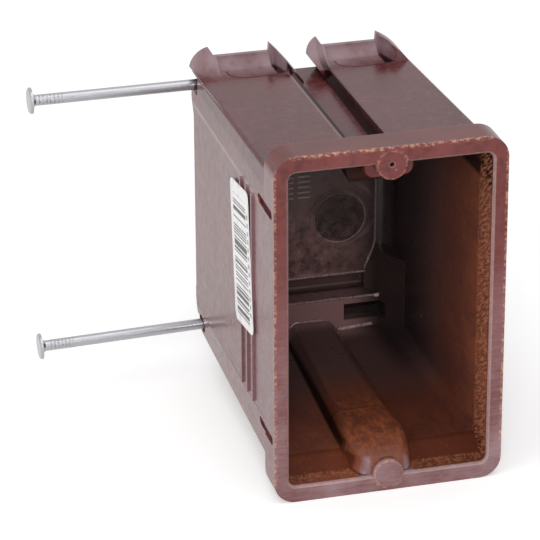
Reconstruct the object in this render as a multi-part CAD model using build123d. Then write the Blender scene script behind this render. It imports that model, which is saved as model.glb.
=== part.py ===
from build123d import *
import math
import os

os.makedirs("parts", exist_ok=True)

# Frame: X across the mouth, Y from the mouth to the back, Z up.
# The origin lies halfway between the two device-screw pilots, on the boss faces.
# All sizes are in millimetres.

# device-screw bosses
screw_spacing = 83.34
boss_r = 3.95
boss_edge_r = 0.6
pilot_r = 0.65
dimple_r = 1.7
dimple_depth = 0.45
pedestal_half = 6.4
pedestal_reach = 4.3
pedestal_corner_r = 2.6
pedestal_edge_r = 1.5
pedestal_set_back = 2.4
pedestal_edge_z = screw_spacing / 2 - pedestal_reach

# mouth, set out from the screws, and the rim round it
mouth_over_screws = 0.46
mouth_width = 51.2
mouth_height = screw_spacing + mouth_over_screws
mouth_corner_r = 1.8
mouth_bevel = 0.7
rim_side_land = 3.8
rim_end_land = 4.3
rim_width = mouth_width + 2 * rim_side_land
rim_height = mouth_height + 2 * rim_end_land
rim_depth = 9.4
rim_set_back = 0.3
rim_corner_r = 5.6

# body behind the rim
back_y = 80.0
side_left_front = -rim_width / 2
side_left_back = side_left_front - 0.1
side_right_front = rim_width / 2 - 0.1
side_right_back = side_right_front - 1.8
rim_end_step = 5.5
top_draft = 1.9
floor_draft = 2.1
top_front_z = rim_height / 2 - rim_end_step
top_back_z = top_front_z - top_draft
floor_front_z = -top_front_z
floor_back_z = floor_front_z + floor_draft
band_top_z = top_front_z - 10.7
band_low_z = floor_front_z + 13.7
band_top_lean = 0.35
band_low_lean = 1.2
top_edge_r = 1.0
low_edge_front_r = 3.2
low_edge_back_r = 5.5

# inside of the body
ledge_start_y = 4.6
ledge_end_y = 9.2
ledge_r = 2.5
cavity_start_y = 8.2
cavity_left_front = -mouth_width / 2
cavity_left_back = cavity_left_front + 0.4
cavity_right_front = mouth_width / 2
cavity_right_back = cavity_right_front - 2.4
top_wall_front = 2.7
top_wall_back = 2.6
floor_wall_back = 2.5
cavity_top_front_z = top_front_z - top_wall_front
cavity_top_back_z = top_back_z - top_wall_back
cavity_floor_front_z = floor_front_z + top_wall_front
cavity_floor_back_z = floor_back_z + floor_wall_back
cavity_corner_front_r = 2.6
cavity_corner_back_r = 4.2
cavity_back_fillet = 3.8
back_wall = 2.8
cavity_back_y = back_y - back_wall

# clearance channels for the device screws, top and bottom
channel_depth = 4.7
channel_floor_z = top_front_z - channel_depth
channel_floor_half = 3.8
channel_mouth_half = 5.0
channel_flare = 0.5
channel_wall = 2.3
ridge_rise = 0.8
ridge_front_z = channel_floor_z - channel_wall
ridge_back_z = ridge_front_z - ridge_rise
ridge_left_x = (-7.9, -4.3)
ridge_foot_x = (-9.3, -7.6)
ridge_right_x = 6.9
ridge_steep_r = 1.2
ridge_soft_r = 3.6
ridge_nose_r = 3.9

# guide bar for the lower nail, with the recess above it
guide_thickness = 4.6
guide_front_y = cavity_back_y - guide_thickness
guide_rise = 9.1
guide_top_z = cavity_floor_back_z + guide_rise
guide_edge_r = 0.5
window_x = (cavity_right_back - 13.9, cavity_right_back - 3.0)
window_z = (guide_top_z - 6.7, guide_top_z - 2.0)
recess_height = 5.0
recess_depth = 3.0
recess_edge_r = 1.2
recess_x = (cavity_left_back + 0.4, cavity_right_back - 6.3)
back_rib_z = tuple(guide_top_z + step for step in (-2.7, 0.8, 4.0, 6.6))
back_rib_height = 1.7
back_low_step = 1.8

# thick corner at the low rear right, with a slanted face
corner_reach_x = 7.0
corner_reach_y = 12.7
corner_top_z = (guide_top_z + 6.0, guide_top_z + 12.5)
corner_top_x = (cavity_right_back - corner_reach_x, cavity_right_back - 3.8)

# thicker head of the back, over the upper nail
head_step = 2.5
back_top_y = back_y + head_step
back_top_z = (top_back_z - 11.8, top_back_z - 7.3)

# nails: axis through the entry in the left side and the middle of the head
nail_length = 63.5
nail_r = 1.43
nail_head_r = 3.45
nail_head_thickness = 1.05
nail_head_bevel = 0.35
nail_point_length = 4.2
nail_clearance = 0.05
bore_past_tip = 0.5
upper_nail_y = back_top_y - 2.7
upper_nail_z = top_back_z - 3.3
upper_nail_entry = (side_left_back, upper_nail_y, upper_nail_z)
upper_nail_head = (side_left_back - 42.9, upper_nail_y, upper_nail_z + 0.02)
lower_nail_y = guide_front_y + 2.9
lower_nail_z = guide_top_z - 4.12
lower_nail_entry = (side_left_back, lower_nail_y, lower_nail_z)
lower_nail_head = (side_left_back - 43.5, lower_nail_y, lower_nail_z - 1.06)
nail_notch_r = 2.5
nail_notch_depth = 1.2
nail_recess_y = back_top_y - 6.0
nail_recess_z = (upper_nail_z - 1.9, upper_nail_z + 0.9, upper_nail_z + 4.0)
nail_recess_x = (side_left_back + 1.6, side_left_back - 0.6)

# cable entries on the top: one unit to the left and one to the right.
# Each arc is given by its middle and foot, out from the unit's centre and up from the top.
entry_centres = (side_left_back + 12.6, side_right_back - 15.4)
horn_arcs = (((-11.0, 4.3), (-13.0, 1.0)), ((-9.75, 4.2), (-10.6, 1.1)))
horn_bury = (-10.1, -7.7)
wing_arcs = (((11.7, 1.7), (15.1, -2.6)), ((12.3, 2.8), (15.1, -0.6)))
lip_half = 8.1
lip_top_z = top_back_z + 3.3
lip_thickness = 1.5
lip_foot_y = back_top_y - 4.3
ear_top_z = top_back_z + 5.7
ear_drop = 1.5
wing_front_y = back_top_y - 10.1
wing_thickness = 1.1
wing_sweep = 4.3
entry_bury_z = top_back_z - 3.8
flap_front_y = wing_front_y - 0.6
flap_corner_r = 4.5
groove_width = 0.5
groove_depth = 0.4
slot_front_width = 3.4
slot_back_width = 1.3
slot_back_y = back_top_y - lip_thickness
slot_ledge_z = top_back_z - 1.5

# left edge of the top, flared out towards the horn
flare_front_y = back_y - 34.0
flare_drop = 1.5

# left side: ribs under the label and two obround slots
rib_ys = (19.6, 25.0, 30.4)
rib_width = 1.0
rib_height = 0.5
slot_z = (band_top_z + 0.85, band_low_z - 2.6)
side_slot_y = (2.0, 15.2)
side_slot_r = 1.2
side_slot_depth = 0.8

# label on the left side
label_size = (17.4, 37.0)
label_corner_r = 2.0
label_thickness = 0.15
label_centre = (rib_ys[1] + 3.6, band_top_z - 20.9)
label_tilt = 7.6

# cutting shapes reach this far out of the box
beyond = 20.0


def station(y):
    """Plane across the box at depth y; its own x is X and its own y is Z."""
    return Plane(origin=(0, y, 0), x_dir=(1, 0, 0), z_dir=(0, -1, 0))


def side_plane(x):
    """Plane along the box at x; its own x is Y and its own y is Z."""
    return Plane(origin=(x, 0, 0), x_dir=(0, 1, 0), z_dir=(1, 0, 0))


def plan(z):
    """Level plane at height z; its own x is X and its own y is Y."""
    return Plane(origin=(0, 0, z), x_dir=(1, 0, 0), z_dir=(0, 0, 1))


def outline(points, plane):
    return plane * make_face(Polyline(*points, close=True))


def slab(x, y, z):
    """Box between the pairs x, y and z."""
    size = [b - a for a, b in (x, y, z)]
    mid = [(a + b) / 2 for a, b in (x, y, z)]
    return Pos(*mid) * Box(*size)


def along_depth(points, y0, y1):
    """Prism of an X-Z outline from depth y0 to y1."""
    return extrude(outline(points, station(y1)), y1 - y0)


def along_width(points, x0, x1):
    """Prism of a Y-Z outline from x0 to x1."""
    return extrude(outline(points, side_plane(x0)), x1 - x0)


def through_height(points, z0, z1):
    """Prism of an X-Y outline from z0 to z1."""
    return extrude(outline(points, plan(z0)), z1 - z0)


def loft_between(front, back):
    return Solid.make_loft([front.face().outer_wire(), back.face().outer_wire()], ruled=True)


def body_section(y, left, right, top, bottom, low_r):
    points = [(left + band_top_lean, top), (left, band_top_z),
              (left, band_low_z), (left + band_low_lean, bottom),
              (right - band_low_lean, bottom), (right, band_low_z),
              (right, band_top_z), (right - band_top_lean, top)]
    face = make_face(Polyline(*points, close=True))
    by_height = face.vertices().sort_by(Axis.Y)
    face = fillet(by_height[-2:], top_edge_r)
    low = face.vertices().sort_by(Axis.Y)[:2]
    face = fillet(low, low_r)
    return station(y) * face


def cavity_section(y, left, right, top, bottom, corner_r):
    shape = RectangleRounded(right - left, top - bottom, corner_r)
    return station(y) * Pos((left + right) / 2, (top + bottom) / 2) * shape


def channel(sign, y0, y1):
    """Open clearance channel for a device screw, on the top (+1) or the bottom (-1)."""
    def section(y, flare):
        pts = [(-channel_floor_half - flare, sign * channel_floor_z),
               (channel_floor_half + flare, sign * channel_floor_z),
               (channel_mouth_half + flare / 2, sign * (top_front_z + 0.3)),
               (channel_mouth_half + flare / 2, sign * (top_front_z + 9)),
               (-channel_mouth_half - flare / 2, sign * (top_front_z + 9)),
               (-channel_mouth_half - flare / 2, sign * (top_front_z + 0.3))]
        return outline(pts, station(y))
    return loft_between(section(y0, 0), section(y1, channel_flare))


def ridge(sign):
    """The channel's inner side, which stands into the cavity along its middle."""
    front, back, base = cavity_start_y, cavity_back_y + 1, cavity_top_front_z + 2

    def section(y, floor_z, top_z, left_x, foot_x):
        points = [(foot_x, base), (foot_x, floor_z), (left_x, top_z),
                  (ridge_right_x, top_z), (ridge_right_x, base)]
        face = make_face(Polyline(*points, close=True))
        for corner_x, radius in ((left_x, ridge_steep_r), (ridge_right_x, ridge_soft_r)):
            tip = face.vertices().filter_by(lambda v: abs(v.X - corner_x) < 1e-6 and abs(v.Y - top_z) < 1e-6)
            face = fillet(tip, radius)
        return station(y) * face

    bar = loft_between(
        section(front - 1, cavity_top_front_z, ridge_front_z, ridge_left_x[0], ridge_foot_x[0]),
        section(back, cavity_top_back_z, ridge_back_z, ridge_left_x[1], ridge_foot_x[1]))

    # rounded nose; its side view sets the height of the top
    start, end = (front, ridge_front_z + 0.02), (back + 1, ridge_back_z + 0.02)
    side = make_face(Polyline((front, base + 1), start, end, (back + 1, base + 1), close=True))
    tip = side.vertices().filter_by(lambda v: abs(v.X - start[0]) < 1e-6 and abs(v.Y - start[1]) < 1e-6)
    side = fillet(tip, ridge_nose_r)
    shape = extrude(side_plane(-beyond) * side, 2 * beyond) & bar
    return shape if sign > 0 else mirror(shape, Plane.XY)


def thick_corner():
    """Solid filling of the low rear right corner, with a slanted face towards the cavity."""
    right, back = cavity_right_back, cavity_back_y
    x0 = right - corner_reach_x
    wedge = through_height([(x0, back + 1), (x0, back), (right + 0.3, back - corner_reach_y),
                            (right + 4, back - corner_reach_y), (right + 4, back + 1)],
                           cavity_floor_front_z - 1, corner_top_z[1])
    roof = along_depth([(x0 - 1, cavity_floor_front_z - 2), (x0 - 1, corner_top_z[0] - 2),
                        (corner_top_x[0], corner_top_z[0]), (corner_top_x[1], corner_top_z[1] - 0.01),
                        (right + 5, corner_top_z[1] + 1), (right + 5, cavity_floor_front_z - 2)],
                       back - corner_reach_y - 1, back + 2)
    return wedge & roof


def boss(sign):
    """Round screw boss on a flat pedestal with rounded shoulders."""
    z = sign * screw_spacing / 2
    depth = rim_set_back + rim_depth
    post = extrude(station(depth) * Pos(0, z) * Circle(boss_r), depth)
    post = fillet(post.edges().filter_by(GeomType.CIRCLE).sort_by(Axis.Y)[:1], boss_edge_r)
    height = mouth_height / 2 + rim_end_land - 1.2 - pedestal_edge_z
    shoulders = Pos(0, sign * (pedestal_edge_z + height / 2)) * Rectangle(2 * pedestal_half, height)
    inner = shoulders.vertices().filter_by(lambda v: abs(abs(v.Y) - pedestal_edge_z) < 1e-6)
    shoulders = fillet(inner, pedestal_corner_r)
    pedestal = extrude(station(depth) * shoulders, depth - pedestal_set_back)
    rounded = pedestal.faces().sort_by(Axis.Y)[0].edges().filter_by(
        lambda e: abs(e.center().Z) < pedestal_edge_z + pedestal_corner_r)
    return post + fillet(rounded, pedestal_edge_r)


def pilot(sign):
    z = sign * screw_spacing / 2
    depth = rim_set_back + rim_depth
    hole = extrude(station(depth + 1) * Pos(0, z) * Circle(pilot_r), depth + 3)
    ball_r = (dimple_r ** 2 + dimple_depth ** 2) / (2 * dimple_depth)
    return hole + Pos(0, dimple_depth - ball_r, z) * Sphere(ball_r)


def nail_axis(entry, head):
    """Plane at the middle of the head, looking along the nail."""
    way = Vector(*entry) - Vector(*head)
    return Plane(origin=head, z_dir=way)


def nail(entry, head):
    """Common nail: flat head, round shank and diamond point, along its own axis."""
    bevel = nail_head_bevel
    profile = Polyline(
        (0, -nail_head_thickness / 2), (nail_head_r - bevel, -nail_head_thickness / 2),
        (nail_head_r, -nail_head_thickness / 2 + bevel), (nail_head_r, nail_head_thickness / 2 - 0.2),
        (nail_r + 0.5, nail_head_thickness / 2), (nail_r, nail_head_thickness / 2 + 0.7),
        (nail_r, nail_length), (0, nail_length), close=True)
    shank = revolve(make_face(Plane.XZ * profile), Axis.Z)
    tip_z = nail_length
    point = loft([Plane(origin=(0, 0, tip_z - nail_point_length)) * Rectangle(2.6 * nail_r, 2.6 * nail_r),
                  Plane(origin=(0, 0, tip_z)) * Rectangle(0.5, 0.5)])
    head_end = Pos(0, 0, (tip_z - nail_point_length) / 2 - 5) * Cylinder(
        nail_head_r + 1, tip_z - nail_point_length + 10)
    return nail_axis(entry, head) * (shank & (head_end + point))


def nail_bore(entry, head, length):
    """Round bore of the given length from the middle of the nail's head."""
    bore = Pos(0, 0, length / 2) * Cylinder(nail_r + nail_clearance, length)
    return nail_axis(entry, head) * bore


def nail_notch(entry, head):
    """Round relief where the nail enters the side."""
    entry_plane = nail_axis(entry, head).offset(math.dist(entry, head))
    return entry_plane * Cylinder(nail_notch_r, 2 * nail_notch_depth)


def nail_recess():
    """Open relief under the left horn, round the upper nail."""
    (low, mid, high), (inner, outer) = nail_recess_z, nail_recess_x
    points = [(inner, low), (inner, mid), (outer, high), (outer - 2, high), (outer - 2, low)]
    return along_depth(points, nail_recess_y, back_top_y + 1)


def edge_flare():
    """Thin edge of the top that runs out over the left side towards the horn."""
    horn_foot = horn_arcs[0][1]

    def section(y, edge_x, edge_z):
        top = top_height(y)
        root_x = side_left_back + 4
        return outline([(side_left_back + 0.6, edge_z - flare_drop), (edge_x, edge_z - 0.25),
                        (edge_x, edge_z), (root_x, top - 0.02), (root_x, top - flare_drop)], station(y))

    front = section(flare_front_y, side_left_back + 0.9, top_height(flare_front_y) - 0.35)
    back = section(back_top_y - 0.02, entry_centres[0] + horn_foot[0], top_back_z + horn_foot[1])
    return loft_between(front, back)


def entry_unit(centre, horn_arc, bury, wing_arc):
    """Raised rear rim of a cable entry: horn at its left, low lip, sloping wing at its right."""
    left, right = centre - lip_half, centre + lip_half
    horn_mid, horn_foot, wing_mid, wing_foot = [
        (centre + x, top_back_z + z) for x, z in (*horn_arc, *wing_arc)]
    bury_x = centre + bury
    rear = make_face(
        ThreePointArc(wing_foot, wing_mid, (right, ear_top_z))
        + Polyline((right, ear_top_z), (right - 0.2, lip_top_z),
                   (left + ear_drop, lip_top_z), (left, ear_top_z))
        + ThreePointArc((left, ear_top_z), horn_mid, horn_foot)
        + Polyline(horn_foot, (bury_x, entry_bury_z + 1), (bury_x + 1, entry_bury_z),
                   (wing_foot[0] - 1, entry_bury_z), wing_foot))
    unit = extrude(station(back_top_y) * rear, back_top_y - wing_front_y)

    # tray between the horn and the wing, with a concave sweep up to the lip
    tray_left, tray_right = left + ear_drop + 0.4, right + wing_sweep - wing_thickness
    tray = [(tray_left, wing_front_y - 2), (tray_right, wing_front_y - 2), (tray_right, wing_front_y),
            (right + 0.3, slot_back_y), (tray_left, slot_back_y)]
    unit -= through_height(tray, top_back_z, ear_top_z + 3)
    foot, crest = (lip_foot_y, top_back_z - 0.1), (back_top_y - lip_thickness, lip_top_z - 0.3)
    scoop = make_face(
        ThreePointArc(foot, (lip_foot_y + 1.9, top_back_z + 0.9), crest)
        + Polyline(crest, (back_top_y - 0.8, lip_top_z), (back_top_y, lip_top_z),
                   (back_top_y, top_back_z - 0.1), foot))
    unit += extrude(side_plane(left) * scoop, right - left)

    # horn: rises towards the back
    start, end = (wing_front_y + 0.6, top_back_z), (back_top_y - 0.8, ear_top_z + 0.1)
    ramp = make_face(
        ThreePointArc(start, (wing_front_y + 5.6, top_back_z + 1.5), end)
        + Polyline(end, (end[0], ear_top_z + 4), (wing_front_y - 3, ear_top_z + 4),
                   (wing_front_y - 3, top_back_z), start))
    unit -= extrude(side_plane(horn_foot[0] - 3) * ramp, left + 2.5 - horn_foot[0] + 3)

    # wing: its front end comes down to the top's height
    nose = [(wing_front_y - 2, top_back_z + 0.25), (wing_front_y + 0.9, top_back_z + 0.25),
            (wing_front_y + 2.2, ear_top_z + 3), (wing_front_y - 2, ear_top_z + 3)]
    unit -= along_width(nose, left + 2, wing_foot[0] + 3)
    return unit


def entry_slot(centre):
    """Open slot at the flap's right, over the nail's bore only down to a ledge."""
    right = centre + lip_half
    slot = [(right, wing_front_y + 0.1), (right + slot_front_width, wing_front_y + 1.1),
            (right + slot_back_width, slot_back_y), (right, slot_back_y)]
    upper = through_height(slot, slot_ledge_z, ear_top_z - 1.0)
    lower = through_height(slot, cavity_top_back_z - 3, slot_ledge_z + 0.1)
    return upper + (lower & slab((right - 5, right + 9), (wing_front_y - 2, cavity_back_y - 0.2),
                                 (cavity_top_back_z - 4, ear_top_z)))


def flap_groove(centre):
    """Shallow break line round the front and left of the flap."""
    left, right = centre - lip_half + 3.6, centre + lip_half
    width, depth = right - left + 6, lip_foot_y + 8 - flap_front_y
    base = plan(top_height(flap_front_y + 3) - groove_depth)
    place = base * Pos(left + width / 2, flap_front_y + depth / 2)
    ring = place * (RectangleRounded(width, depth, flap_corner_r)
                    - RectangleRounded(width - 2 * groove_width, depth - 2 * groove_width,
                                       flap_corner_r - groove_width))
    keep = slab((left - 1, right), (flap_front_y - 1, lip_foot_y), (top_back_z - 2, top_back_z + 2))
    return extrude(ring, 2) & keep


def top_height(y):
    t = (y - rim_depth) / (back_y - rim_depth)
    return top_front_z + t * (top_back_z - top_front_z)


def box_body():
    rim_back = rim_set_back + rim_depth
    rim = extrude(station(rim_back) * RectangleRounded(rim_width, rim_height, rim_corner_r), rim_depth)
    rim = fillet(rim.faces().sort_by(Axis.Y)[-1].edges(), 0.5)

    front = (side_left_front, side_right_front, top_front_z, floor_front_z, low_edge_front_r)
    back = (side_left_back, side_right_back, top_back_z, floor_back_z, low_edge_back_r)
    body = loft_between(body_section(rim_back - 1.0, *front), body_section(back_y, *back))

    # back: rib over the inner recess, set-back foot, thicker head for the upper nail
    b0, b1, b2, b3 = back_rib_z
    rib_y = back_y + back_rib_height
    body += along_width([(back_y - 1, b0 - 0.4), (back_y, b0), (rib_y, b1), (rib_y, b2), (back_y, b3),
                         (back_y - 1, b3)], side_left_back + 0.3, side_right_back - 0.3)
    body -= slab((side_left_back - beyond, side_right_back + beyond),
                 (back_y - back_low_step, back_y + beyond), (floor_back_z - beyond, b0))
    head = along_width([(back_y - 6, back_top_z[0]), (back_y, back_top_z[0]), (back_top_y, back_top_z[1]),
                        (back_top_y, top_back_z + 1), (back_y - 6, top_back_z + 1)],
                       side_left_back - beyond, side_right_back + beyond)
    body += head & extrude(body_section(back_top_y, *back), back_top_y - back_y + 6)
    body += edge_flare()

    # clearance channels, then the raised rims of the cable entries
    body -= channel(1, rim_back, back_y + 9)
    body -= channel(-1, rim_back, back_y + 9)
    for unit in zip(entry_centres, horn_arcs, horn_bury, wing_arcs):
        body += entry_unit(*unit)
        body -= flap_groove(unit[0])
    body -= nail_recess()

    # hollow
    hollow = loft_between(
        cavity_section(cavity_start_y, cavity_left_front, cavity_right_front, cavity_top_front_z,
                       cavity_floor_front_z, cavity_corner_front_r),
        cavity_section(cavity_back_y, cavity_left_back, cavity_right_back, cavity_top_back_z,
                       cavity_floor_back_z, cavity_corner_back_r))
    hollow = Part(hollow.wrapped)
    hollow = fillet(hollow.faces().sort_by(Axis.Y)[-1].edges(), cavity_back_fillet)
    recess = slab(recess_x, (cavity_back_y - 3, cavity_back_y + recess_depth),
                  (guide_top_z, guide_top_z + recess_height))
    recess = fillet(recess.faces().sort_by(Axis.Y)[-1].edges(), recess_edge_r)
    hollow += recess
    hollow -= thick_corner()
    guide = slab((side_left_back - beyond, side_right_back + beyond), (guide_front_y, back_y + beyond),
                 (floor_back_z - beyond, guide_top_z))
    lip = guide.edges().filter_by(Axis.X).sort_by(lambda e: e.center().Y - e.center().Z)[:1]
    guide = fillet(lip, guide_edge_r)
    hollow -= guide
    ridges = (ridge(1), ridge(-1))
    for shape in ridges:
        hollow -= shape

    # mouth: rounded opening with a soft ledge down to the cavity, and a bevel round its edge
    def opening(y, grow):
        width, height = mouth_width + 2 * grow, mouth_height + 2 * grow
        return station(y) * RectangleRounded(width, height, mouth_corner_r + grow)

    half, low, end_y = mouth_height / 2, cavity_top_front_z, ledge_end_y + ledge_r / 2
    side = make_face(Polyline((-beyond, half), (ledge_start_y, half), (ledge_end_y, low), (end_y, low),
                              (end_y, -low), (ledge_end_y, -low), (ledge_start_y, -half), (-beyond, -half),
                              close=True))
    bends = side.vertices().filter_by(lambda v: ledge_start_y - 0.01 < v.X < ledge_end_y + 0.01)
    side = fillet(bends, ledge_r)
    mouth = extrude(opening(end_y, 0), end_y + 3)
    mouth &= extrude(side_plane(-beyond * 2) * side, beyond * 4)
    for shape in ridges:
        mouth -= shape
    bevel = loft_between(opening(rim_set_back - 0.01, mouth_bevel), opening(rim_set_back + mouth_bevel, 0))

    box = rim + body
    box -= hollow
    box -= mouth
    box -= bevel
    box += boss(1)
    box += boss(-1)
    box -= pilot(1)
    box -= pilot(-1)

    # nail bores and the window in the lower guide
    box -= nail_bore(upper_nail_entry, upper_nail_head, nail_length + bore_past_tip)
    box -= nail_bore(lower_nail_entry, lower_nail_head, 2 * nail_length)
    box -= nail_notch(lower_nail_entry, lower_nail_head)
    box -= slab(window_x, (guide_front_y - 3, lower_nail_entry[1]), window_z)

    # cable-entry slots
    for centre in entry_centres:
        box -= entry_slot(centre)

    # left side: ribs under the label and the two obround slots behind the rim
    for y in rib_ys:
        box += slab((side_left_back - rib_height, side_left_back + 1), (y - rib_width / 2, y + rib_width / 2),
                    (band_low_z + 0.5, band_top_z - 0.3))
    for z in slot_z:
        length = side_slot_y[1] - side_slot_y[0]
        place = side_plane(side_left_front - 1) * Pos(sum(side_slot_y) / 2, z)
        box -= extrude(place * SlotOverall(length, 2 * side_slot_r), side_slot_depth + 1)
    return box


def label():
    face_x = side_left_back - rib_height - label_thickness
    place = side_plane(face_x) * Pos(*label_centre) * Rot(0, 0, -label_tilt)
    return extrude(place * RectangleRounded(*label_size, label_corner_r), label_thickness)


nodes = {
    "box_body": box_body(),
    "upper_nail": nail(upper_nail_entry, upper_nail_head),
    "lower_nail": nail(lower_nail_entry, lower_nail_head),
    "label": label(),
}
for name, shape in nodes.items():
    export_step(shape, f"parts/{name}.step")
    box = shape.bounding_box()
    print(name, "solids", len(shape.solids()), "valid", shape.is_valid, "volume", round(shape.volume, 1),
          "size", [round(v, 2) for v in box.size])
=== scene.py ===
import bpy
import bmesh
import math
from mathutils import Matrix, Vector


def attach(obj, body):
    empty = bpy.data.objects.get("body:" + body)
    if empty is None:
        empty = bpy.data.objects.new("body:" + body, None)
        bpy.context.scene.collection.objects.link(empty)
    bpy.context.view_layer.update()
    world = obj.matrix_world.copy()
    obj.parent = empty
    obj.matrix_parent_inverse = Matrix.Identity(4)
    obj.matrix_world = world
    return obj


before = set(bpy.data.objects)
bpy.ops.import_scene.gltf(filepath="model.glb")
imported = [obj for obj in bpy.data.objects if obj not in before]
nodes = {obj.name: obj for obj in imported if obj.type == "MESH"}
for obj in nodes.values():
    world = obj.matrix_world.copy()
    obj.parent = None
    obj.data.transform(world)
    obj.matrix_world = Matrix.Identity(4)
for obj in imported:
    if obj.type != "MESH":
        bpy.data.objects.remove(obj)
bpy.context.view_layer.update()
mm = 0.001
print("frame loaded")


def toLinear(hexText):
    values = [int(hexText[i:i + 2], 16) / 255 for i in (1, 3, 5)]
    return [v / 12.92 if v <= 0.04045 else ((v + 0.055) / 1.055) ** 2.4 for v in values] + [1]


def addNode(tree, kind, settings=None, links=None):
    node = tree.nodes.new(kind)
    for name, value in (settings or {}).items():
        if isinstance(name, int) or name in node.inputs:
            node.inputs[name].default_value = value
        else:
            setattr(node, name, value)
    for name, source in (links or {}).items():
        tree.links.new(source, node.inputs[name])
    return node


def newMaterial(name):
    material = bpy.data.materials.new(name)
    material.use_nodes = True
    material.node_tree.nodes.clear()
    return material, material.node_tree


def startFields(tree, place, noises):
    # the coordinates at place, and each noise as stretch, scale per mm, detail and roughness
    xyz = addNode(tree, "ShaderNodeSeparateXYZ", links={0: place})
    fields = {"x": xyz.outputs[0], "y": xyz.outputs[1], "z": xyz.outputs[2]}
    for name, (stretch, scale, detail, roughness) in noises.items():
        moved = addNode(tree, "ShaderNodeVectorMath", {"operation": "MULTIPLY", 1: stretch}, {0: place})
        noise = addNode(tree, "ShaderNodeTexNoise", {"Scale": scale, "Detail": detail, "Roughness": roughness},
                        {"Vector": moved.outputs[0]})
        fields[name] = noise.outputs["Fac"]
    return fields


def placeInMm(tree):
    coord = addNode(tree, "ShaderNodeTexCoord")
    return addNode(tree, "ShaderNodeVectorMath", {"operation": "SCALE", "Scale": 1 / mm},
                   {0: coord.outputs["Object"]}).outputs[0]


def joinParts(tree, fields, operation, parts):
    # a part is a field's name, a number, or (field, start, end), a soft rise from 0 to 1 between the two;
    # (field, start, end, low, high) rises from low to high
    result = None
    for part in parts:
        value = part
        if isinstance(part, str):
            value = fields[part]
        elif isinstance(part, tuple):
            name, start, end, low, high = (part + (0.0, 1.0))[:5]
            settings = {"interpolation_type": "SMOOTHSTEP", "From Min": start, "From Max": end,
                        "To Min": low, "To Max": high}
            value = addNode(tree, "ShaderNodeMapRange", settings, {"Value": fields[name]}).outputs[0]
        if result is None:
            result = value
            continue
        settings, links = {"operation": operation}, {0: result}
        (settings if isinstance(value, (int, float)) else links)[1] = value
        result = addNode(tree, "ShaderNodeMath", settings, links).outputs[0]
    return result


def addFields(tree, fields, rows):
    for name, operation, *parts in rows:
        fields[name] = joinParts(tree, fields, operation, parts)


def layColours(tree, fields, base, layers):
    # lays each colour over the last by the product of its parts; base is a hex colour or a node's output
    for hexText, *parts in layers:
        settings = {"data_type": "RGBA", 7: toLinear(hexText)}
        links = {0: joinParts(tree, fields, "MULTIPLY", parts)}
        if isinstance(base, str):
            settings[6] = toLinear(base)
        else:
            links[6] = base
        base = addNode(tree, "ShaderNodeMix", settings, links).outputs[2]
    return base


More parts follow.
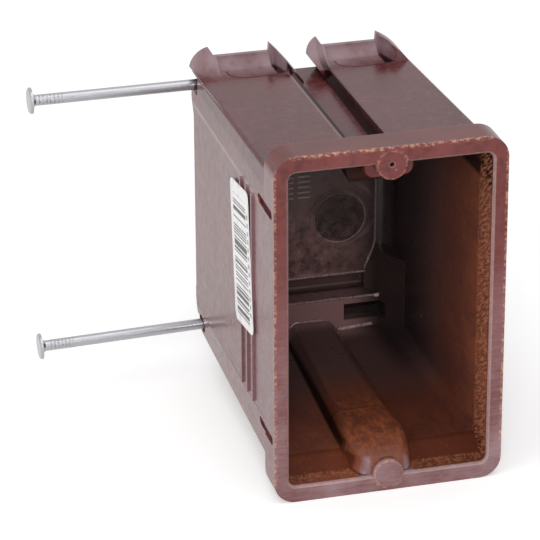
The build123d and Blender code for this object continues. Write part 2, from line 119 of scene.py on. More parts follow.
# phenolic: compression moulded with wood flour, hard gloss outside, dull and rusty towards the mouth
# fields are in mm on the part: x across, y into the box, z up
phenolic = {
    "deepBody": "#511A17",
    "insideDark": "#574341",
    "ior": 1.38,
    "bumpStrength": 0.2,
    "bumpDepth": 0.05,
    "scrapeTilt": 35,
    "noises": {
        "cloud": ((1, 1, 1), 0.05, 4.0, 0.6),
        "mottle": ((1, 1, 1), 0.35, 6.0, 0.65),
        "grain": ((1, 1, 1), 2.2, 5.0, 0.7),
        "fibre": ((1, 0.35, 1), 1.1, 6.0, 0.7),
        "flow": ((1.0, 0.5, 0.8), 0.12, 4.0, 0.6),
        "scratch": ((0.15, 1, 1), 1.2, 5.0, 0.7),
        "rusts": ((1, 0.5, 1), 0.8, 7.0, 0.75),
        "blotch": ((1, 1, 1), 0.16, 6.0, 0.72),
        "crumb": ((1, 1, 1), 0.9, 6.0, 0.7),
    },
    "scrapeNoise": {"scrape": ((1, 0.22, 1.2), 1.25, 5.0, 0.75)},
    # distance from a middle, in the plane of two fields
    "distances": {
        "fromRing": ("x", "z", (9.3, -5.5, 0)),
        "fromCrescent": ("x", "z", (10.9, -4.2, 0)),
        "fromBoss": ("x", "absZ", (0, 41.67, 0)),
    },
    # where: behind the mouth's edge, and not in the channels or on the back of the outside
    "regions": [
        ("absX", "ABSOLUTE", "x", 0.0),
        ("absZ", "ABSOLUTE", "z", 0.0),
        ("hollow", "MULTIPLY", ("absX", 26.0, 25.7), ("absZ", 38.3, 38.1)),
        ("mouth", "MULTIPLY", ("absX", 26.0, 25.7), ("absZ", 42.2, 42.0), ("y", 9.65, 9.6)),
        ("cavity", "MAXIMUM", "hollow", "mouth"),
        ("channel", "MULTIPLY", ("absX", 5.5, 5.3), ("absZ", 35.3, 35.5), ("y", 9.6, 9.65)),
        ("upperBacking", "MULTIPLY", ("y", 6.5, 4.0), ("z", -1.0, 1.0)),
        ("lowerBacking", "MULTIPLY", ("y", 4.6, 1.0), ("absX", 3.0, 5.0)),
        ("backing", "MAXIMUM", "upperBacking", "lowerBacking"),
        ("pedestal", "MULTIPLY", ("absX", 7.6, 6.6), ("absZ", 36.4, 37.4), "backing"),
        ("rearHigh", "MULTIPLY", ("y", 79.4, 79.6), ("z", -21.9, -21.6)),
        ("rearLow", "MULTIPLY", ("y", 77.8, 78.0), ("z", -27.2, -27.5)),
        ("rear", "MAXIMUM", "rearHigh", "rearLow", ("y", 80.3, 80.5)),
        ("behindEdge", "SUBTRACT", ("y", 0.7, 1.1), "channel"),
        ("inside", "MULTIPLY", "cavity", "behindEdge", ("pedestal", 1.0, 0.0), ("rear", 1.0, 0.0)),
        ("outside", "SUBTRACT", ("y", -2.0, -1.0), "inside"),
        ("front", "MULTIPLY", ("y", 0.9, 0.5)),
        ("lid", "MULTIPLY", ("z", 34.8, 35.3), ("y", 9.6, 9.8), "outside"),
    ],
    # outside: light dust on the low and front parts; a painted highlight on the lower pedestal's shoulders and a
    # painted sheen on the entry trays
    "dust": [
        ("halfMottle", "MULTIPLY", "mottle", 0.5),
        ("bodyCloud", "ADD", "cloud", "halfMottle"),
        ("stain", "MULTIPLY", "front", ("z", -10.0, 40.0), ("mottle", 0.48, 0.6)),
        ("halfScratch", "MULTIPLY", "scratch", 0.5),
        ("dustCloud", "ADD", "cloud", "halfScratch"),
        ("thinDust", "MULTIPLY", ("z", 30.0, -45.0, 0.1, 1.0), "outside", ("dustCloud", 0.35, 1.1),
         ("front", 0.0, 1.0, 0.15, 0.85)),
        ("ribDust", "MULTIPLY", ("x", -29.0, -29.5), ("y", 66.0, 14.0), 0.4),
        ("someGrain", "MULTIPLY", "grain", 0.4),
        ("speckle", "ADD", "mottle", "someGrain"),
        ("lidDust", "MULTIPLY", "lid", ("speckle", 0.62, 0.85), 0.09),
        # painted highlight on the lower pedestal's shoulders, in the dust's colour
        ("shoulderHighlight", "MULTIPLY", "pedestal", ("z", 0.0, -1.0), ("absZ", 42.0, 41.9), ("y", 0.4, 0.8), 0.55),
        # painted sheen over the entry trays, in flowing patches
        ("traySheen", "MULTIPLY", ("y", 70.0, 79.5), ("z", 38.0, 38.8), ("flow", 0.25, 0.6, 0.4, 1.0), 0.8),
        ("dust", "MAXIMUM", "thinDust", "ribDust", "lidDust", "shoulderHighlight", "traySheen"),
    ],
    # left side: painted highlight line under the top's band, painted shade line over the foot; channel edge: a
    # painted highlight line, a painted shadow line, and painted shade on the channel's right wall, darker towards
    # the channel's floor
    "lines": [
        ("leftSide", "MULTIPLY", ("x", -28.9, -29.1), ("y", 9.7, 9.9)),
        ("highlightLine", "MULTIPLY", ("z", 28.9, 29.9), ("z", 30.9, 30.0), "leftSide"),
        # painted shade along the lower crease, where the band turns downward
        ("shadeLine", "MULTIPLY", ("z", -27.6, -27.1), ("z", -26.4, -26.9), "leftSide", 0.6),
        ("channelEdge", "MULTIPLY", ("absZ", 36.0, 36.4), ("y", 9.7, 9.9)),
        # painted shadow line along the channel's left edge
        ("edgeShadow", "MULTIPLY", ("x", -5.85, -5.6), ("x", -4.6, -4.8), "channelEdge"),
        # painted highlight line beside the channel's edge
        ("edgeHighlight", "MULTIPLY", ("x", -6.6, -6.2), ("x", -5.7, -5.9), "channelEdge"),
        # painted shade on the channel's right wall, darker towards the channel's floor
        ("channelWallShade", "MULTIPLY", ("x", 3.5, 3.8), ("x", 5.4, 5.2), ("absZ", 35.8, 36.1), ("y", 9.6, 9.8),
         ("absZ", 41.0, 38.0, 0.2, 1.0)),
        ("dirtLines", "MAXIMUM", "shadeLine", "edgeShadow", "channelWallShade"),
        ("dirt", "MULTIPLY", "dirtLines", "outside"),
    ],
    "outsideColours": [
        ("#6B2724", ("bodyCloud", 0.5, 1.0)),
        ("#4A1E26", "lid", 0.5),
        ("#863C36", "front", 0.3),
        ("#4A1210", "stain", 0.6),
        # dust, with the painted highlight on the shoulders and the painted sheen on the trays
        ("#A08A8F", "dust"),
        # painted highlights: the left side's line and the channel's edge
        ("#C4B0B0", "highlightLine", 0.3),
        ("#C4B0B0", "edgeHighlight", 0.15),
        # painted shade: near-black over the crease line, the channel edge's shadow line and the channel's right
        # wall
        ("#120606", "dirt", 0.85),
    ],
    # inside: duller and rusty towards the mouth, in fibres and soft clouds; painted shade on the ridge's flank,
    # the upper ridge, the recess, the back corner and the window; painted sheen on the guide bar
    "hollowForms": [
        ("near", "MULTIPLY", ("y", 58.0, 4.0)),
        ("halfCloud", "MULTIPLY", "cloud", 0.5),
        ("nearCloud", "ADD", "near", "halfCloud"),
        ("someFibre", "MULTIPLY", "fibre", 0.7),
        ("rustFlow", "ADD", "someFibre", "flow"),
        ("rusty", "MULTIPLY", ("rustFlow", 0.62, 1.1), ("y", 50.0, 2.0, 0.0, 0.9)),
        ("ridgePatch", "MULTIPLY", ("absX", 13.0, 5.0), ("z", -29.0, -33.0), ("y", 38.0, 22.0), ("y", 2.0, 6.0)),
        ("rustGrain", "ADD", "halfMottle", "rusts"),
        ("rightFloor", "MULTIPLY", ("x", 5.0, 9.0), ("z", -34.0, -37.0)),
        ("offFoot", "ADD", "x", ("y", 8.0, 76.0, 9.3, 7.6)),
        # painted shade along the ridge's left flank and foot
        ("flankShade", "MULTIPLY", ("offFoot", -0.9, -0.1), ("offFoot", 1.6, 0.8), ("z", -34.6, -36.4),
         ("y", 5.0, 12.0)),
        # painted shade over the upper ridge's front, under the rim
        ("upper", "MULTIPLY", ("z", 31.0, 33.0), ("y", 60.0, 45.0)),
        # painted sheen, lighter mauve, on the guide bar's left part
        ("guideBarSheen", "MULTIPLY", ("y", 66.0, 71.5), ("z", -19.5, -22.5), ("x", 18.0, 9.0)),
        # painted shade inside the recess above the guide bar
        ("recessShade", "MULTIPLY", ("y", 77.4, 78.0), ("z", -27.4, -27.0), ("z", -21.7, -22.1)),
        # painted shade over the deep back-right corner
        ("sideCornerShade", "MULTIPLY", ("x", 13.0, 20.0), ("y", 36.0, 62.0)),
        ("backCornerShade", "MULTIPLY", ("x", 15.5, 18.5), ("y", 66.0, 72.0)),
        ("corner", "MAXIMUM", "sideCornerShade", "backCornerShade"),
        # painted shade inside the guide's window
        ("window", "MULTIPLY", ("x", 9.1, 9.3), ("x", 20.4, 20.2), ("z", -33.8, -33.6), ("z", -28.9, -29.1),
         ("y", 72.8, 73.4)),
        ("ramp", "MULTIPLY", ("y", 3.5, 5.5), ("y", 11.0, 9.5), ("z", -37.4, -38.2)),
    ],
    # back wall: painted sheen, lighter low on the left; a darker crumbly disc within a ring with a painted
    # highlight on one side, a painted highlight crescent, painted highlights on the bars
    "backWall": [
        ("wall", "MULTIPLY", ("y", 75.6, 76.8), ("z", -22.5, -21.5)),
        # painted sheen on the back wall, lighter low on the left
        ("pale", "MULTIPLY", ("z", 6.0, -18.0), ("x", 20.0, -8.0), ("mottle", 0.35, 0.6), "wall"),
        ("dim", "MULTIPLY", "wall", ("blotch", 0.56, 0.4)),
        ("crumbs", "ADD", "mottle", "grain"),
        ("disc", "MULTIPLY", ("fromRing", 7.0, 6.6), "wall", ("crumbs", 1.12, 0.86, 0.45, 1.0)),
        # painted highlight on the ring, lit on its lower right side
        ("acrossRing", "SUBTRACT", "x", "z"),
        ("ringHighlight", "MULTIPLY", ("fromRing", 6.7, 7.0), ("fromRing", 7.5, 7.15), "wall",
         ("acrossRing", 6.0, 22.0, 0.1, 0.8), ("mottle", 0.35, 0.55, 0.3, 1.0)),
        # painted highlight crescent to the ring's right
        ("crescent", "MULTIPLY", ("fromCrescent", 7.5, 8.2), ("fromCrescent", 9.2, 8.5), "wall",
         ("x", 12.0, 17.0, 0.0, 0.35)),
        # painted highlights on the bars' proud faces
        ("marks", "MULTIPLY", ("y", 77.16, 77.12), "wall", ("x", 1.8, 1.5), ("z", 0.0, 0.5), ("z", 8.5, 8.0)),
        ("paleMarks", "MAXIMUM", "ringHighlight", "crescent", "marks"),
    ],
    "insideColours": [
        ("#63382E", ("nearCloud", 0.1, 0.9)),
        ("#8E4E33", "rusty"),
        ("#3A1C12", "ridgePatch", 0.4),
        ("#9A5230", "ridgePatch", ("rustGrain", 0.62, 0.92), 0.72),
        ("#35170F", "rightFloor", "near", 0.5),
        ("#120A0A", "flankShade", 0.9),
        ("#1E1110", "upper", 0.92),
        ("#95706F", "guideBarSheen", 0.7),
        ("#2C1A19", "recessShade", 0.75),
        ("#AA807C", "pale", 0.65),
        ("#241819", "dim", 0.5),
        ("#150D0E", "disc", 0.8),
        ("#B09A98", "paleMarks", 0.6),
        ("#261D1E", "corner", 0.85),
        ("#130C0D", "window", 0.9),
        ("#4A2013", "ramp", 0.7),
    ],
    # wear: the band behind the mouth's edge scraped to the filler, chipped edges, fine specks of filler; a painted
    # highlight line along the mouth's edge
    "wear": [
        ("stripSides", "MAXIMUM", ("absX", 25.2, 25.5), ("absZ", 41.2, 41.7, 0.0, 0.45)),
        ("strip", "MULTIPLY", ("y", 1.2, 2.2), ("y", 11.0, 9.5), "stripSides", "inside", ("scrape", 0.47, 0.56)),
        ("topEdge", "MULTIPLY", ("z", 45.2, 46.1), ("y", 1.6, 0.5)),
        ("sideEdge", "MULTIPLY", ("absX", 28.5, 29.1), ("y", 1.2, 0.6), 0.8),
        ("mouthEdge", "MULTIPLY", ("absX", 26.6, 26.3), ("absZ", 43.0, 42.6), ("y", 1.5, 1.0), ("y", 0.31, 0.4)),
        ("mouthChips", "MULTIPLY", "mouthEdge", 0.22),
        ("bossRing", "MULTIPLY", ("fromBoss", 3.2, 3.5), ("fromBoss", 4.2, 4.0), ("y", 0.7, 0.2), 0.6),
        ("edges", "MAXIMUM", "topEdge", "sideEdge", "mouthChips", "bossRing"),
        ("halfGrain", "MULTIPLY", "grain", 0.5),
        ("chipGrain", "ADD", "crumb", "halfGrain"),
        ("chipped", "MULTIPLY", "edges", ("chipGrain", 0.7, 0.92)),
        ("specks", "MULTIPLY", ("grain", 0.64, 0.7), 0.35, ("inside", 0.0, 1.0, 0.25, 1.0), ("y", 60.0, 15.0)),
    ],
    "wearColours": [
        ("#B07254", "strip"),
        # painted highlight line along the mouth's edge
        ("#C4B0B0", "mouthEdge", 0.3),
        ("#D39C7C", "chipped"),
        ("#D39C7C", "specks"),
    ],
    "finish": [
        ("rightMatt", "MULTIPLY", "rightFloor", 0.6),
        ("mattForms", "MAXIMUM", "ramp", "flankShade", "rightMatt", "upper"),
        ("mattInside", "MULTIPLY", "inside", "mattForms"),
        ("lidMatt", "MULTIPLY", "lid", 0.42),
        # the painted shade is also made matt
        ("matt", "MAXIMUM", "dirt", "mattInside", "lidMatt"),
        ("specular", "MULTIPLY", ("matt", 0.0, 1.0, 0.5, 0.08)),
        ("wornInside", "MULTIPLY", "inside", ("near", 0.0, 1.0, 0.4, 1.0)),
        ("worn", "MAXIMUM", "wornInside", "chipped"),
        ("dustyRoughness", "MULTIPLY", "dust", 0.25),
        ("roughness", "ADD", ("worn", 0.0, 1.0, 0.2, 0.5), "dustyRoughness", ("mottle", 0.3, 0.7, -0.04, 0.06)),
        ("lowGrain", "MULTIPLY", "grain", 0.3),
        ("insideFibre", "MULTIPLY", "fibre", "inside", "near"),
        ("height", "ADD", "lowGrain", "insideFibre"),
    ],
}


def makePhenolic():
    material, tree = newMaterial("compressionMouldedPhenolic")
    place = placeInMm(tree)
    fields = startFields(tree, place, phenolic["noises"])
    slanted = addNode(tree, "ShaderNodeVectorRotate",
                      {"rotation_type": "X_AXIS", "Angle": math.radians(phenolic["scrapeTilt"])},
                      {"Vector": place}).outputs[0]
    fields["scrape"] = startFields(tree, slanted, phenolic["scrapeNoise"])["scrape"]
    addFields(tree, fields, phenolic["regions"])
    for name, (first, second, middle) in phenolic["distances"].items():
        flat = addNode(tree, "ShaderNodeCombineXYZ", links={0: fields[first], 1: fields[second]})
        away = addNode(tree, "ShaderNodeVectorMath", {"operation": "DISTANCE", 1: middle}, {0: flat.outputs[0]})
        fields[name] = away.outputs["Value"]
    for rows in ("dust", "lines", "hollowForms", "backWall", "wear", "finish"):
        addFields(tree, fields, phenolic[rows])
    outside = layColours(tree, fields, phenolic["deepBody"], phenolic["outsideColours"])
    inside = layColours(tree, fields, phenolic["insideDark"], phenolic["insideColours"])
    both = addNode(tree, "ShaderNodeMix", {"data_type": "RGBA"}, {0: fields["inside"], 6: outside, 7: inside})
    colour = layColours(tree, fields, both.outputs[2], phenolic["wearColours"])
    bump = addNode(tree, "ShaderNodeBump", {"Strength": phenolic["bumpStrength"],
                                            "Distance": phenolic["bumpDepth"] * mm}, {"Height": fields["height"]})
    surface = addNode(tree, "ShaderNodeBsdfPrincipled", {"IOR": phenolic["ior"]},
                      {"Base Color": colour, "Roughness": fields["roughness"], "Normal": bump.outputs[0],
                       "Specular IOR Level": fields["specular"]})
    addNode(tree, "ShaderNodeOutputMaterial", links={"Surface": surface.outputs[0]})
    return material


# nails: bright drawn steel wire, upset heads, gripper marks under the head
nailSteel = {
    "colour": "#ADADB1",
    "mark": "#7C7C80",
    "bumpStrength": 0.4,
    "bumpDepth": 0.1,
    "gripperWave": {"bands_direction": "X", "Scale": 0.32, "Distortion": 0.6, "Detail": 2.0},
    "noises": {"bite": ((1, 1, 1), 1.6, 4.0, 0.6), "drawn": ((0.05, 1, 1), 3.0, 4.0, 0.6)},
    "fields": [
        ("bitten", "MULTIPLY", "wave", ("bite", 0.35, 0.6)),
        ("marks", "MULTIPLY", ("bitten", 0.35, 0.8), ("x", -71.0, -70.4), ("x", -63.6, -64.2)),
        ("lowLines", "MULTIPLY", "drawn", 0.1),
        ("height", "ADD", "marks", "lowLines"),
        ("roughness", "MULTIPLY", ("drawn", 0.3, 0.7, 0.24, 0.38)),
    ],
    "markAmount": 0.6,
}


def makeNailSteel():
    material, tree = newMaterial("brightDrawnSteelWire")
    place = placeInMm(tree)
    fields = startFields(tree, place, nailSteel["noises"])
    wave = addNode(tree, "ShaderNodeTexWave", nailSteel["gripperWave"], {"Vector": place})
    fields["wave"] = wave.outputs["Fac"]
    addFields(tree, fields, nailSteel["fields"])
    colour = layColours(tree, fields, nailSteel["colour"],
                        [(nailSteel["mark"], "marks", nailSteel["markAmount"])])
    bump = addNode(tree, "ShaderNodeBump", {"Strength": nailSteel["bumpStrength"], "invert": True,
                                            "Distance": nailSteel["bumpDepth"] * mm}, {"Height": fields["height"]})
    surface = addNode(tree, "ShaderNodeBsdfPrincipled", {"Metallic": 1.0},
                      {"Base Color": colour, "Normal": bump.outputs[0], "Roughness": fields["roughness"]})
    addNode(tree, "ShaderNodeOutputMaterial", links={"Surface": surface.outputs[0]})
    return material


# label: coated paper with plain printed bars and dashes, laid out from the label's middle
labelPaper = {
    "paper": "#F4F2F2",
    "worn": "#DEDADB",
    "ink": "#2E2B2D",
    "roughness": 0.5,
    "middle": (28.6, 9.1),
    "tilt": 7.6,
    "noises": {"faint": ((1, 1, 1), 0.3, 4.0, 0.6)},
    # from and to across the label, from and to along it
    "printed": {"barArea": (-5.9, 6.3, -16.6, 15.2), "dashArea": (-7.9, -6.6, -14.5, 12.5)},
    "barPitch": 0.36,
    "dashPitch": 2.1,
    "barShare": 0.54,
    "dashShare": 0.55,
    "barInk": 0.92,
    "dashInk": 0.6,
    "dashShift": 100.0,
}


def makeLabelPaper():
    material, tree = newMaterial("coatedLabelPaper")
    place = placeInMm(tree)
    middleY, middleZ = labelPaper["middle"]
    turned = addNode(tree, "ShaderNodeVectorRotate",
                     {"rotation_type": "X_AXIS", "Center": (0, middleY, middleZ),
                      "Angle": math.radians(labelPaper["tilt"])}, {"Vector": place}).outputs[0]
    fields = startFields(tree, turned, {})
    fields["faint"] = startFields(tree, place, labelPaper["noises"])["faint"]
    addFields(tree, fields, [
        ("across", "SUBTRACT", "y", middleY),
        ("along", "SUBTRACT", "z", middleZ),
        ("barCount", "DIVIDE", "along", labelPaper["barPitch"]),
        ("barNumber", "FLOOR", "barCount", 0.0),
    ])
    for name, (left, right, foot, head) in labelPaper["printed"].items():
        addFields(tree, fields, [
            ("pastLeft", "GREATER_THAN", "across", left),
            ("beforeRight", "LESS_THAN", "across", right),
            ("pastFoot", "GREATER_THAN", "along", foot),
            ("beforeHead", "LESS_THAN", "along", head),
            (name, "MULTIPLY", "pastLeft", "beforeRight", "pastFoot", "beforeHead"),
        ])
    chance = addNode(tree, "ShaderNodeTexWhiteNoise", {"noise_dimensions": "1D"}, {"W": fields["barNumber"]})
    fields["chance"] = chance.outputs["Value"]
    addFields(tree, fields, [
        ("inked", "GREATER_THAN", "chance", labelPaper["barShare"]),
        ("bars", "MULTIPLY", "inked", "barArea", labelPaper["barInk"]),
        ("shifted", "ADD", "along", labelPaper["dashShift"]),
        ("dashCount", "DIVIDE", "shifted", labelPaper["dashPitch"]),
        ("phase", "FRACT", "dashCount", 0.0),
        ("dashed", "LESS_THAN", "phase", labelPaper["dashShare"]),
        ("dashes", "MULTIPLY", "dashed", "dashArea", labelPaper["dashInk"]),
        ("print", "MAXIMUM", "bars", "dashes"),
    ])
    colour = layColours(tree, fields, labelPaper["paper"],
                        [(labelPaper["worn"], ("faint", 0.45, 0.7)), (labelPaper["ink"], "print")])
    surface = addNode(tree, "ShaderNodeBsdfPrincipled", {"Roughness": labelPaper["roughness"]},
                      {"Base Color": colour})
    addNode(tree, "ShaderNodeOutputMaterial", links={"Surface": surface.outputs[0]})
    return material


phenolicMaterial = makePhenolic()
nodes["box_body"].material_slots[0].material = phenolicMaterial
steel = makeNailSteel()
nodes["upper_nail"].material_slots[0].material = steel
nodes["lower_nail"].material_slots[0].material = steel
nodes["label"].material_slots[0].material = makeLabelPaper()
print("materials given")


def addPiece(name, bm, material):
    bmesh.ops.remove_doubles(bm, verts=bm.verts, dist=0.002 * mm)
    bmesh.ops.recalc_face_normals(bm, faces=bm.faces)
    for face in bm.faces:
        face.smooth = True
    mesh = bpy.data.meshes.new(name)
    bm.to_mesh(mesh)
    bm.free()
    piece = bpy.data.objects.new(name, mesh)
    bpy.context.scene.collection.objects.link(piece)
    mesh.materials.append(material)
    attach(piece, "root")


# soft run-up from the lower pedestal to the ridge behind it
runUp = {
    # depth, top, left and right edge at each station
    "stations": [
        (1.4, -40.2, -3.6, 3.6),
        (1.7, -38.6, -5.0, 5.0),
        (2.6, -37.3, -6.0, 6.0),
        (4.4, -36.1, -6.9, 6.7),
        (6.8, -35.0, -7.7, 7.2),
        (9.0, -34.25, -8.3, 7.5),
        (11.5, -33.7, -8.5, 7.6),
        (14.5, -33.45, -8.4, 7.4),
        (18.0, -33.4, -8.2, 7.1),
        (22.0, -33.6, -7.9, 6.8),
    ],
    # foot and underside, in front of the channel's start and behind it
    "foot": -41.7,
    "under": -38.0,
    "channelStart": 8.6,
    "rearFoot": -38.2,
    "rearUnder": -34.9,
    "leastThick": 0.6,
}


def makeRunUp():
    bm = bmesh.new()
    rows = []
    for y, top, left, right in runUp["stations"]:
        width = right - left
        rear = y > runUp["channelStart"]
        foot = runUp["rearFoot"] if rear else runUp["foot"]
        under = min(runUp["rearUnder"] if rear else runUp["under"], top - runUp["leastThick"])
        # from the left foot over the top to the right foot, and back underneath
        outline = [(left - 1.3, foot), (left - 0.5, top - 2.6), (left - 0.1, top - 1.0),
                   (left + 0.4, top - 0.3), (left + 1.4, top), (left + width * 0.4, top + 0.05),
                   (right - 3.4, top), (right - 2.0, top - 0.35), (right - 0.8, top - 1.2),
                   (right - 0.1, top - 2.6), (right + 0.3, foot),
                   (right - 0.6, foot), (right - 1.0, under), (left + 1.0, under), (left - 0.4, foot)]
        rows.append([bm.verts.new((x * mm, y * mm, z * mm)) for x, z in outline])
    for back, ahead in zip(rows, rows[1:]):
        for i in range(len(back)):
            j = (i + 1) % len(back)
            bm.faces.new((back[i], back[j], ahead[j], ahead[i]))
    bm.faces.new(rows[0])
    bm.faces.new(rows[-1])
    for ring in range(2):
        bmesh.ops.subdivide_edges(bm, edges=bm.edges, cuts=1, use_grid_fill=True, smooth=0.5)
    addPiece("ridgeRunUp", bm, phenolicMaterial)


# moulding lines deep inside as thin beads painted light as their highlights: each a radius and a path of points
beads = {
    "colour": "#B09A98",
    "roughness": 0.22,
    "sides": 10,
    "noises": {"patchy": ((1, 1, 1), 1.3, 4.0, 0.7)},
    # painted highlight: lighter towards the right ends and low down, in patches
    "highlightParts": [("x", -10.0, 17.0, 0.6, 1.0), ("z", -16.0, -21.0, 0.12, 1.0), ("patchy", 0.38, 0.6, 0.35, 1.0)],
    "paths": [
        (0.36, [(-25.0, 72.55, -27.1), (-10.0, 72.5, -27.1), (18.4, 72.5, -27.1)]),
        (0.36, [(-24.9, 77.1, -21.95), (0.0, 77.1, -21.95), (16.4, 77.1, -21.95)]),
        (0.4, [(19.3, 77.2, 30.0), (19.3, 77.2, 0.0), (19.2, 77.2, -13.0), (18.6, 77.2, -15.4),
               (17.5, 77.2, -18.0), (16.4, 77.2, -21.2)]),
        (0.34, [(-7.5, 72.5, -35.6), (-6.0, 72.5, -34.2), (-4.4, 72.5, -32.85), (0.0, 72.5, -32.75),
                (3.2, 72.5, -32.85), (5.2, 72.5, -33.8), (6.4, 72.5, -35.2), (7.6, 72.5, -36.0)]),
        (0.55, [(7.6, 72.4, -36.0), (9.4, 72.4, -35.9), (13.0, 72.4, -35.7), (17.0, 72.4, -35.5)]),
        (0.6, [(17.6, 72.3, -27.15), (18.3, 72.3, -27.15), (18.9, 72.3, -27.15)]),
    ],
}


def makeBeads():
    bm = bmesh.new()
    sides = beads["sides"]
    for radius, path in beads["paths"]:
        points = [Vector(point) for point in path]
        rings = []
        for i, point in enumerate(points):
            along = (points[min(i + 1, len(points) - 1)] - points[max(i - 1, 0)]).normalized()
            side = along.cross(Vector((0, 1, 0))).normalized()
            lift = side.cross(along)
            rings.append([bm.verts.new((point + radius * (math.cos(a) * side + math.sin(a) * lift)) * mm)
                          for a in [math.tau * k / sides for k in range(sides)]])
        for first, second in zip(rings, rings[1:]):
            for k in range(sides):
                j = (k + 1) % sides
                bm.faces.new((first[k], first[j], second[j], second[k]))
        bm.faces.new(rings[0])
        bm.faces.new(rings[-1])
    material, tree = newMaterial("paintedHighlightEdge")
    fields = startFields(tree, placeInMm(tree), beads["noises"])
    colour = layColours(tree, fields, phenolic["insideDark"], [(beads["colour"], *beads["highlightParts"])])
    surface = addNode(tree, "ShaderNodeBsdfPrincipled", {"Roughness": beads["roughness"]}, {"Base Color": colour})
    addNode(tree, "ShaderNodeOutputMaterial", links={"Surface": surface.outputs[0]})
    addPiece("mouldingLinesHighlight", bm, material)


# skin of flash over the lower pilot, a hair under the boss's face
flash = {"centre": (0.0, -41.67), "radius": 1.78, "depth": 0.03, "dome": 0.12, "segments": 32}


def makeFlash():
    bm = bmesh.new()
    bmesh.ops.create_circle(bm, cap_ends=True, cap_tris=True, segments=flash["segments"],
                            radius=flash["radius"] * mm)
    bmesh.ops.subdivide_edges(bm, edges=bm.edges, cuts=2)
    centreX, centreZ = flash["centre"]
    for vert in bm.verts:
        out = vert.co.length / (flash["radius"] * mm)
        depth = flash["depth"] + flash["dome"] * (0.5 + 0.5 * math.cos(math.pi * out))
        vert.co = Vector((centreX * mm + vert.co.x, depth * mm, centreZ * mm + vert.co.y))
    addPiece("pilotFlash", bm, phenolicMaterial)


# moulded marks on the back wall: a ring, and two columns of short plain bars
backMarks = {
    "wall": 77.2,
    "ringCentre": (9.3, -5.5),
    "rings": [(7.0, 0.28), (8.2, 0.14)],  # radius, thickness
    "ringProud": 0.9,
    "ringPoints": 7,
    "ringSteps": 72,
    "barColumns": [(-2.3, 1.2), (-4.8, -3.4)],
    "barTops": [6.2, 4.7, 3.2, 1.7, 7.7],
    "barHeight": 0.55,
    "proud": 0.35,
    "barSink": 0.05,
    "barBevel": 0.12,
}


def makeBackMarks():
    bm = bmesh.new()
    wall = backMarks["wall"]
    centreX, centreZ = backMarks["ringCentre"]
    angles = [math.pi * k / (backMarks["ringPoints"] - 1) for k in range(backMarks["ringPoints"])]
    for radius, thick in backMarks["rings"]:
        profile = [bm.verts.new((centreX * mm + (radius + thick * math.cos(a)) * mm,
                                 (wall - thick * backMarks["ringProud"] * math.sin(a)) * mm, centreZ * mm))
                   for a in angles]
        edges = [bm.edges.new(pair) for pair in zip(profile, profile[1:])]
        bmesh.ops.spin(bm, geom=profile + edges, cent=(centreX * mm, 0, centreZ * mm), axis=(0, 1, 0),
                       angle=math.tau, steps=backMarks["ringSteps"], use_merge=True)
    height = backMarks["barHeight"]
    for left, right in backMarks["barColumns"]:
        for top in backMarks["barTops"]:
            made = bmesh.ops.create_cube(bm, size=1.0)["verts"]
            bmesh.ops.scale(bm, verts=made, vec=((right - left) * mm, backMarks["proud"] * mm, height * mm))
            middle = ((left + right) / 2 * mm, (wall - backMarks["barSink"]) * mm, (top - height / 2) * mm)
            bmesh.ops.translate(bm, verts=made, vec=middle)
            edges = list({edge for vert in made for edge in vert.link_edges})
            bmesh.ops.bevel(bm, geom=edges, offset=backMarks["barBevel"] * mm, affect="EDGES", segments=2,
                            profile=0.5, material=-1)
    addPiece("backWallMarks", bm, phenolicMaterial)


makeRunUp()
makeBeads()
makeFlash()
makeBackMarks()
print("small pieces made")

# studio: pale floor, white surroundings, soft lamps
studio = {
    "floorZ": -46.25 * mm,
    "floorSize": 3.0,
    "floorColour": "#F4F4F4",
    "floorLift": 0.3,
    "worldStrength": 0.5,
    "lamps": [
        # name, place, size, power
        ("topLamp", (-0.1, -0.25, 1.2), 1.2, 4.4),
        ("leftLamp", (-1.1, -0.5, 0.6), 1.0, 3.5),
        ("frontLamp", (-0.35, -1.2, 0.6), 0.5, 7.0),
    ],
}


def seenFields(tree):
    # "seen" is 1 where the camera, a reflection or a look through glass meets the surface
    path = addNode(tree, "ShaderNodeLightPath")
    rays = ("Is Camera Ray", "Is Glossy Ray", "Is Transmission Ray")
    fields = {ray: path.outputs[ray] for ray in rays}
    addFields(tree, fields, [("seen", "MAXIMUM", *rays)])
    return fields


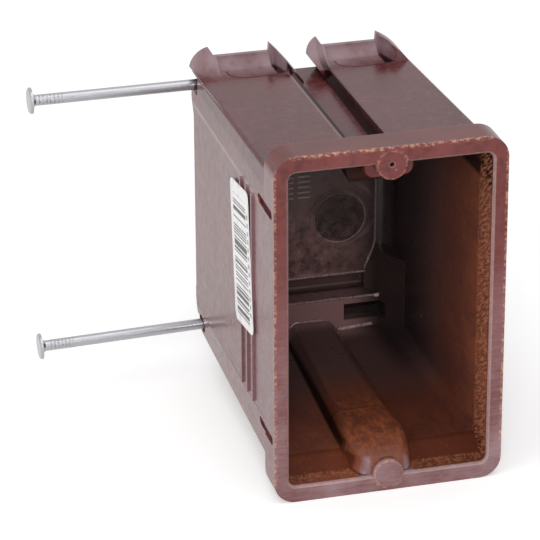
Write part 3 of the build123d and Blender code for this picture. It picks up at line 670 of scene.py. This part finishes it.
def makeStage():
    bm = bmesh.new()
    bmesh.ops.create_grid(bm, x_segments=1, y_segments=1, size=studio["floorSize"])
    bmesh.ops.translate(bm, verts=bm.verts, vec=(0, 0, studio["floorZ"]))
    mesh = bpy.data.meshes.new("floor")
    bm.to_mesh(mesh)
    bm.free()
    floor = bpy.data.objects.new("floor", mesh)
    bpy.context.scene.collection.objects.link(floor)
    material, tree = newMaterial("matteBackdropPaper")
    fields = seenFields(tree)
    addFields(tree, fields, [("lift", "MULTIPLY", "seen", studio["floorLift"])])
    paper = addNode(tree, "ShaderNodeBsdfDiffuse", {"Color": toLinear(studio["floorColour"])})
    lift = addNode(tree, "ShaderNodeEmission", links={"Strength": fields["lift"]})
    both = addNode(tree, "ShaderNodeAddShader", links={0: paper.outputs[0], 1: lift.outputs[0]})
    addNode(tree, "ShaderNodeOutputMaterial", links={"Surface": both.outputs[0]})
    mesh.materials.append(material)

    world = bpy.data.worlds.new("whiteSurroundings")
    bpy.context.scene.world = world
    world.use_nodes = True
    tree = world.node_tree
    tree.nodes.clear()
    strength = addNode(tree, "ShaderNodeMapRange", {"To Min": studio["worldStrength"], "To Max": 1.0},
                       {"Value": seenFields(tree)["seen"]})
    background = addNode(tree, "ShaderNodeBackground", {"Color": (1, 1, 1, 1)}, {"Strength": strength.outputs[0]})
    addNode(tree, "ShaderNodeOutputWorld", links={"Surface": background.outputs[0]})

    for name, place, size, power in studio["lamps"]:
        data = bpy.data.lights.new(name, "AREA")
        data.shape = "DISK"
        data.size = size
        data.energy = power
        lamp = bpy.data.objects.new(name, data)
        lamp.location = place
        lamp.rotation_euler = Vector(place).to_track_quat("Z", "Y").to_euler()
        bpy.context.scene.collection.objects.link(lamp)


# camera: place and turn fitted to the photograph
view = {
    "place": (-207.930, -669.203, 334.935),
    "right": (0.966023, -0.258416, -0.004538),
    "up": (0.111549, 0.401030, 0.909248),
    "ahead": (0.233144, 0.878861, -0.416230),
    "lens": 212.37,
    "sensor": 36,
    "clip": (0.01, 20),
}


def makeCamera():
    data = bpy.data.cameras.new("camera")
    data.sensor_width = view["sensor"]
    data.lens = view["lens"]
    data.clip_start, data.clip_end = view["clip"]
    camera = bpy.data.objects.new("camera", data)
    turn = Matrix((view["right"], view["up"], [-v for v in view["ahead"]])).transposed()
    camera.matrix_world = Matrix.Translation(Vector(view["place"]) * mm) @ turn.to_4x4()
    bpy.context.scene.collection.objects.link(camera)
    bpy.context.scene.camera = camera


makeStage()
makeCamera()
bpy.context.scene.view_settings.view_transform = "Standard"
print("studio and camera set")
